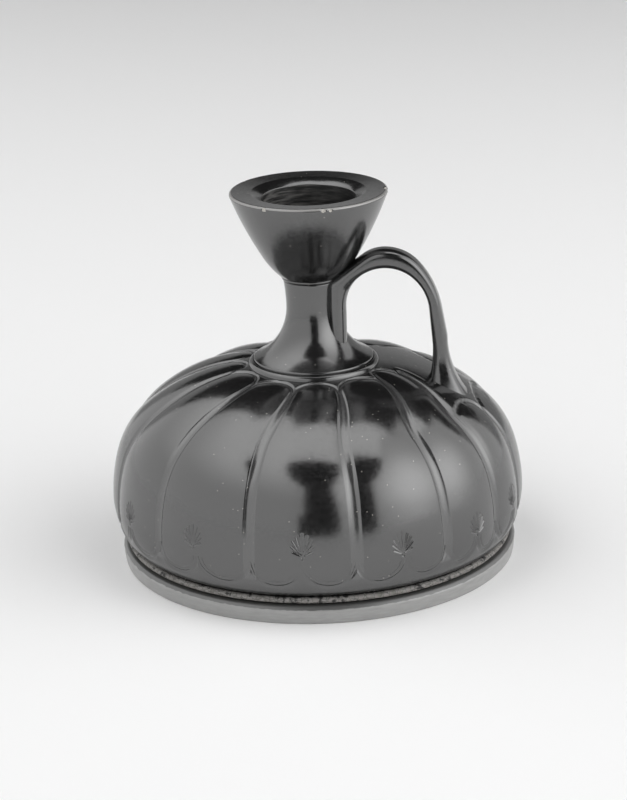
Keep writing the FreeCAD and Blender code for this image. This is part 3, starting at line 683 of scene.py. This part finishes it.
# Chips along the lip: azimuth in degrees, height and radius in millimetres.
chips = [(2, lip_height - 0.5, 1.5), (-120, lip_height - 0.7, 0.9), (-76, lip_height - 0.6, 0.8),
         (-71, lip_height - 0.7, 0.6), (150, lip_height - 0.3, 0.8)]
chip_sink, chip_bare = 0.35, 0.8
spots = [(rim_reach * math.cos(math.radians(turn)), rim_reach * math.sin(math.radians(turn)), rise, size)
         for turn, rise, size in chips]
for point in mouth.data.vertices:
    x, y, z = point.co / MM
    for chip_x, chip_y, chip_z, size in spots:
        miss = math.dist((x, y, z), (chip_x, chip_y, chip_z)) / size
        if miss < 1:
            sink = chip_sink * size * (1 - miss ** 2) * MM
            point.co -= Vector((x, y, 0)).normalized() * sink + Vector((0, 0, sink / 2))
for face in mouth.data.polygons:
    x, y, z = face.center / MM
    faces_axis = face.normal.x * x + face.normal.y * y < -0.5 * math.hypot(x, y)
    if any(math.dist((x, y, z), spot[:3]) < chip_bare * spot[3] for spot in spots):
        face.material_index = mouth_materials.index(chipped_clay)
    elif faces_axis and z < hole_height + 0.05:
        face.material_index = mouth_materials.index(brushed_slip_and_light)
    # Faces round the lip's outer edge take the painted highlight.
    elif math.hypot(x, y) > rim_reach - lip_highlight_width and z > lip_height - lip_highlight_width:
        face.material_index = mouth_materials.index(lip_highlight_gloss)
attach(mouth, "root")
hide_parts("mouth")

# Handle: a flat strap of clay, pulled by hand, luted to the neck under the mouth, arched
# over and pressed on to the shoulder, where it spreads.
handle_plane = -3.0
strap_half = 4.0
root_bottom, arch_start = 66.0, 80.0
root_hidden, root_front = 5.0, 10.7
crest_reach, crest_height = 22.6, 92.0
top_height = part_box("handle")[1].z / MM
inner_stretches = [
    [(root_front, root_bottom), (root_front, arch_start)],
    [(root_front, arch_start), (crest_reach, crest_height, 12.0, RIGHT)],
    [(crest_reach, crest_height), (31.03, 88.76, 12.6, RIGHT)],
    [(31.03, 88.76), (35.77, 79.25, 14.5, RIGHT)],
    [(35.77, 79.25), (36.76, 67.9)],
    [(36.76, 67.9), (35.2, 54.6, 42, RIGHT)],
]
outer_stretches = [
    [(root_hidden, root_bottom), (root_hidden, arch_start)],
    [(root_hidden, arch_start), (root_hidden, 88.2), (15.5, 95.5),
     (crest_reach, top_height, 11.5, RIGHT)],
    [(crest_reach, top_height), (33.25, 92.93, 13.9, RIGHT)],
    [(33.25, 92.93), (39.81, 78.86, 30.0, RIGHT)],
    [(39.81, 78.86), (41.35, 70.1)],
    [(41.35, 70.1), (52.0, 46.7, 30.3, LEFT)],
]
stations = [12, 26, 18, 22, 14, 30]
outline_step = 0.1


def resampled(points, count):
    """That many points at even distances along a line, without its last one."""
    line_run = np.append(0, np.cumsum(np.hypot(*np.diff(points, axis=0).T)))
    wanted = np.linspace(0, line_run[-1], count, endpoint=False)
    return np.stack([np.interp(wanted, line_run, points[:, k]) for k in (0, 1)], axis=-1)


inner = np.vstack([
    resampled(meridian(corners, outline_step), count)
    for corners, count in zip(inner_stretches, stations)])
outer = np.vstack([
    resampled(meridian(corners, outline_step), count)
    for corners, count in zip(outer_stretches, stations)])
heel_start = 66.0
heel_spread = 0.014
root_squareness, strap_squareness = 2.0, 3.2
around = np.linspace(0, 2 * math.pi, 64, endpoint=False)
sections = []
for near, far in zip(inner, outer):
    flattened = ease(near[0], root_front, crest_reach)
    squareness = root_squareness + (strap_squareness - root_squareness) * flattened
    round_t = np.sign(np.cos(around)) * np.abs(np.cos(around)) ** (2 / squareness)
    round_w = np.sign(np.sin(around)) * np.abs(np.sin(around)) ** (2 / squareness)
    centre = (near + far) / 2
    thick = (far - near) / 2
    half_width = strap_half
    if centre[0] > crest_reach:
        half_width = strap_half + heel_spread * max(heel_start - centre[1], 0) ** 2
    sections.append([(centre[0] + t * thick[0], handle_plane + w * half_width, centre[1] + t * thick[1])
                     for t, w in zip(round_t, round_w)])
sections = np.array(sections) * MM
rows, columns = sections.shape[:2]
numbers = np.arange(rows * columns).reshape(rows, columns)
ring_next = np.roll(numbers, -1, axis=1)
faces = np.stack([numbers[:-1], ring_next[:-1], ring_next[1:], numbers[1:]], axis=-1)
faces = faces.reshape(-1, 4).tolist() + [numbers[0, ::-1].tolist(), numbers[-1].tolist()]
mesh = bpy.data.meshes.new("handle_strap")
mesh.from_pydata(sections.reshape(-1, 3).tolist(), [], faces)
mesh.shade_smooth()
handle = bpy.data.objects.new("handle_strap", mesh)
bpy.context.collection.objects.link(handle)
handle.data.materials.append(black_gloss)
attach(handle, "root")
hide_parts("handle")

# Table: a round sheet of white studio paper that lies flat under the jar.
sheet_white = linear("#f8f8f8")
paper, tree = new_material("white studio paper")
sheet = add(tree, "BsdfPrincipled", links={
    "Base Color": sheet_white, "Roughness": 0.9, "Specular IOR Level": 0.1})
add(tree, "OutputMaterial", links={"Surface": sheet.outputs[0]})


def surface(name, points, faces, material):
    """Stage object from points in metres."""
    mesh = bpy.data.meshes.new(name)
    mesh.from_pydata(points, [], faces)
    mesh.shade_smooth()
    mesh.materials.append(material)
    made = bpy.data.objects.new(name, mesh)
    bpy.context.collection.objects.link(made)
    return made


sheet_reach = 1.5
sheet_edge = np.linspace(0, 2 * math.pi, 180, endpoint=False)
surface("table", [
    (sheet_reach * math.cos(turn), sheet_reach * math.sin(turn), 0) for turn in sheet_edge],
    [tuple(range(len(sheet_edge)))], paper)

# Studio: two large soft boxes, left and right of the camera, a light strip overhead and the
# dark room round them. Their spans are compass angles seen from the jar, in degrees from
# the camera towards the right, and heights over the horizon.
camera_turn = 3.8
room_radius = 2.0
box_radius = 1.6


def patch(name, azimuths, bottom, tops, radius, material):
    """Part of a sphere round the jar: its lower edge lies at one elevation, and its upper edge
    runs through one elevation for each azimuth."""
    columns, rows = 60, 24
    across = np.linspace(azimuths[0], azimuths[-1], columns)
    ceiling = np.interp(across, azimuths, tops)
    points = []
    for share in np.linspace(0, 1, rows):
        for turn, top in zip(np.radians(across + camera_turn), np.radians(ceiling)):
            above = math.radians(bottom) + share * (top - math.radians(bottom))
            points.append((radius * math.cos(above) * math.sin(turn),
                           -radius * math.cos(above) * math.cos(turn), radius * math.sin(above)))
    faces = [(r * columns + c, r * columns + c + 1, (r + 1) * columns + c + 1, (r + 1) * columns + c)
             for r in range(rows - 1) for c in range(columns - 1)]
    made = surface(name, points, faces, material)
    made.visible_camera = False
    return made


def towards(azimuth, elevation):
    """Point on the soft boxes' sphere in that direction."""
    across = math.radians(azimuth + camera_turn)
    above = math.radians(elevation)
    return (box_radius * math.cos(above) * math.sin(across),
            -box_radius * math.cos(above) * math.cos(across), box_radius * math.sin(above))


def cloth(name, bright, dim, centre, near, far):
    """Glowing cloth whose strength falls from bright to dim between two distances from a
    centre."""
    material, tree = new_material(name)
    place = add(tree, "TexCoord").outputs["Object"]
    away = add(tree, "VectorMath", {"operation": "DISTANCE"}, {0: place, 1: centre})
    strength = add(tree, "MapRange", {"interpolation_type": "SMOOTHSTEP"}, {
        "Value": away.outputs["Value"], "From Min": near, "From Max": far,
        "To Min": bright, "To Max": dim})
    light = add(tree, "Emission", links={"Strength": strength.outputs["Result"]})
    add(tree, "OutputMaterial", links={"Surface": light.outputs[0]})
    return material


left_cloth = cloth("left soft box cloth", 1.75, 0.98, towards(0, 90), 0.6, 1.7)
right_cloth = cloth("right soft box cloth", 2.55, 1.08, towards(65, 30), 0.1, 1.3)
top_cloth = cloth("overhead cloth", 1.8, 1.8, towards(0, 90), 0.1, 0.2)
back_cloth = cloth("rear backdrop", 0.4, 0.4, towards(180, 0), 0.1, 0.2)
patch("left_soft_box", (-150, -60, -7), 0, (74, 74, 44), box_radius, left_cloth)
patch("right_soft_box", (22, 75, 105, 132), 0, (44, 74, 70, 45), box_radius, right_cloth)
patch("rear_backdrop", (115, 245), -2, (22, 22), box_radius + 0.1, back_cloth)

# The overhead cloth is a level strip that runs from side to side above the jar.
strip_height, strip_reach = 1.5, 1.25
strip_front, strip_rear = -0.30, 0.42
strip_turn = Matrix.Rotation(math.radians(camera_turn), 3, "Z")
strip = surface("overhead_strip", [
    tuple(strip_turn @ Vector((x, y, strip_height)))
    for x, y in ((-strip_reach, strip_front), (strip_reach, strip_front),
                 (strip_reach, strip_rear), (-strip_reach, strip_rear))], [(0, 1, 2, 3)], top_cloth)
strip.visible_camera = False
room_dark, tree = new_material("dark studio wall")
wall = add(tree, "BsdfPrincipled", links={"Base Color": linear("#161616"), "Roughness": 0.9})
add(tree, "OutputMaterial", links={"Surface": wall.outputs[0]})
patch("room_wall", (-180, 180), -4, (90, 90), room_radius, room_dark)

# The black card in front of the jar hides the far part of the table from its gloss. It
# throws no shadow.
card_distance = 0.5
card_foot, card_height = 0.002, 0.12
card_left, card_right = math.tan(math.radians(-7)), math.tan(math.radians(22))
card = surface("black_card", [
    (card_distance * s, -card_distance, z)
    for s, z in ((card_left, card_foot), (card_right, card_foot),
                 (card_right, card_height), (card_left, card_height))],
    [(0, 1, 2, 3)], room_dark)
card.visible_camera = False
card.visible_shadow = False
card.visible_diffuse = False

# Surroundings: white where the eye or the gloss sees them, and dim as a light.
surroundings_white = linear("#f2f2f2")
dim_light = 0.3
world = bpy.data.worlds.new("pale surroundings")
bpy.context.scene.world = world
world.use_nodes = True
tree = world.node_tree
tree.nodes.clear()
rays = add(tree, "LightPath")
seen = add(tree, "Math", {"operation": "MAXIMUM"}, {
    0: rays.outputs["Is Camera Ray"], 1: rays.outputs["Is Glossy Ray"]})
seen = add(tree, "Math", {"operation": "MAXIMUM"}, {
    0: seen.outputs[0], 1: rays.outputs["Is Transmission Ray"]})
level = add(tree, "MapRange", links={"Value": seen.outputs[0], "To Min": dim_light, "To Max": 1.0})
sky = add(tree, "Background", links={
    "Color": surroundings_white, "Strength": level.outputs["Result"]})
add(tree, "OutputWorld", links={"Surface": sky.outputs[0]})

# Camera: at the photograph's place, which was found from the rim, the foot and the belly.
camera_distance = 0.73505
camera_height = 0.30356
camera_pitch = math.radians(19.138)
camera_yaw = math.radians(-0.036)
camera_roll = math.radians(1.857)
sensor_height = 36
focal_share = 2509.84 / 800
swing = Matrix.Rotation(math.radians(camera_turn), 3, "Z")
forward = swing @ Vector((
    math.sin(camera_yaw) * math.cos(camera_pitch),
    math.cos(camera_yaw) * math.cos(camera_pitch),
    -math.sin(camera_pitch)))
level_right = forward.cross(Vector((0, 0, 1))).normalized()
level_up = level_right.cross(forward)
right = level_right * math.cos(camera_roll) - level_up * math.sin(camera_roll)
upward = level_up * math.cos(camera_roll) + level_right * math.sin(camera_roll)
lens = bpy.data.cameras.new("camera")
lens.sensor_fit = "VERTICAL"
lens.sensor_height = sensor_height
lens.lens = sensor_height * focal_share
camera = bpy.data.objects.new("camera", lens)
bpy.context.collection.objects.link(camera)
camera.matrix_world = Matrix.Translation(
    swing @ Vector((0, -camera_distance, camera_height))) @ Matrix(
    (right, upward, -forward)).transposed().to_4x4()
bpy.context.scene.camera = camera

bpy.context.scene.view_settings.view_transform = "Standard"
